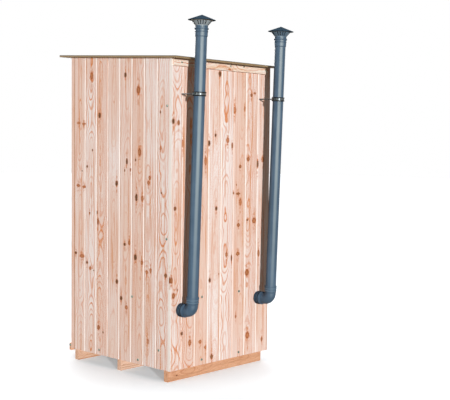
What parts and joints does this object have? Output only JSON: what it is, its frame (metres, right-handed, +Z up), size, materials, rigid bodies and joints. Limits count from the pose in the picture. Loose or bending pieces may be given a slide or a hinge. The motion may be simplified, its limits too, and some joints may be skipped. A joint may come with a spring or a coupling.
{
  "type": "composting toilet",
  "caption": "Free-standing outdoor composting toilet: boarded pine cabin on skids with a door, a bench seat over a pull-out bin, and leaning vent pipes with rain hats.",
  "frame": {"origin": "on the ground under the middle skid, at the centre of the cabin's plan", "axes": "+Z up, -Y towards the door, +Y towards the vent pipes, +X to the right of a person facing the door"},
  "size_m": [1.004, 1.4379, 2.3809],
  "materials": {
    "wall_pine": "planed pine, untreated, knotty",
    "frame_pine": "planed pine",
    "skid_pine": "sawn pine",
    "floor_spruce": "planed spruce",
    "bench_plywood": "birch plywood, sanded",
    "roof_plywood": "film-faced plywood, brown",
    "latch_wood": "oiled birch",
    "roof_felt": "bitumen felt with mineral grit",
    "vent_plastic": "grey polypropylene drain pipe, satin",
    "white_plastic": "moulded, glossy",
    "bin_plastic": "moulded polyethylene, dark green",
    "black_rubber": "moulded",
    "zinc_steel": "bright zinc plating"
  },
  "bodies": {
    "cabin": {"skid_front": "skid_pine", "skid_middle": "skid_pine", "skid_rear": "skid_pine", "floor_boards": "floor_spruce", "bottom_rails": "frame_pine", "corner_posts": "frame_pine", "wall_rails": "frame_pine", "top_rails": "frame_pine", "door_jambs": "wall_pine", "door_head": "wall_pine", "threshold": "skid_pine", "front_sill": "skid_pine", "door_stops": "frame_pine", "rear_cladding": "wall_pine", "side_cladding_right": "wall_pine", "side_cladding_left": "wall_pine", "front_boards": "wall_pine", "rear_batten": "wall_pine", "roof_purlins": "frame_pine", "roof_panel": "roof_plywood", "roof_felt": "roof_felt", "hinge_plates": "zinc_steel", "hinge_pins": "zinc_steel", "latch_screw": "zinc_steel", "bolt_keeper": "zinc_steel", "bench_front": "bench_plywood", "bench_top": "bench_plywood", "bench_cleats": "frame_pine", "drop_chute": "white_plastic", "seat_ring": "white_plastic", "lid_hinge_posts": "white_plastic", "lid_hinge_pin": "zinc_steel", "drawer_guides": "frame_pine", "wall_socket_right": "vent_plastic", "wall_socket_left": "vent_plastic", "vent_bend_right": "vent_plastic", "vent_bend_left": "vent_plastic", "vent_pipe_right": "vent_plastic", "vent_pipe_left": "vent_plastic", "vent_hat_right": "vent_plastic", "vent_hat_left": "vent_plastic", "clamp_bands": "zinc_steel", "clamp_liners": "black_rubber", "clamp_rods": "zinc_steel", "clamp_screws": "zinc_steel", "socket_seals": "black_rubber"},
    "door": {"door_boards": "wall_pine", "door_ledges": "frame_pine", "door_braces": "frame_pine", "hinge_straps": "zinc_steel", "door_pulls": "zinc_steel", "bolt_barrel": "zinc_steel"},
    "latch": {"turn_latch": "latch_wood"},
    "bolt": {"bolt_rod": "zinc_steel"},
    "lid": {"seat_lid": "white_plastic", "lid_buffers": "black_rubber"},
    "drawer": {"drawer_front": "bench_plywood", "drawer_tray": "bench_plywood", "compost_bin": "bin_plastic"}
  },
  "joints": [
    {"name": "door_hinge", "type": "hinge", "parent": "cabin", "child": "door", "pos_m": [-0.3955, -0.5255, 1.05], "axis": [0, 0, -1], "range_deg": [0, 110]},
    {"name": "latch_turn", "type": "hinge", "parent": "cabin", "child": "latch", "pos_m": [0.442, -0.526, 1.15], "axis": [0, 1, 0], "range_deg": [0, 90]},
    {"name": "bolt_slide", "type": "slide", "parent": "door", "child": "bolt", "axis": [1, 0, 0], "range_m": [0, 0.038]},
    {"name": "lid_hinge", "type": "hinge", "parent": "cabin", "child": "lid", "pos_m": [0, 0.439, 0.584], "axis": [-1, 0, 0], "range_deg": [0, 95]},
    {"name": "drawer_slide", "type": "slide", "parent": "cabin", "child": "drawer", "axis": [0, -1, 0], "range_m": [0, 0.4]}
  ]
}
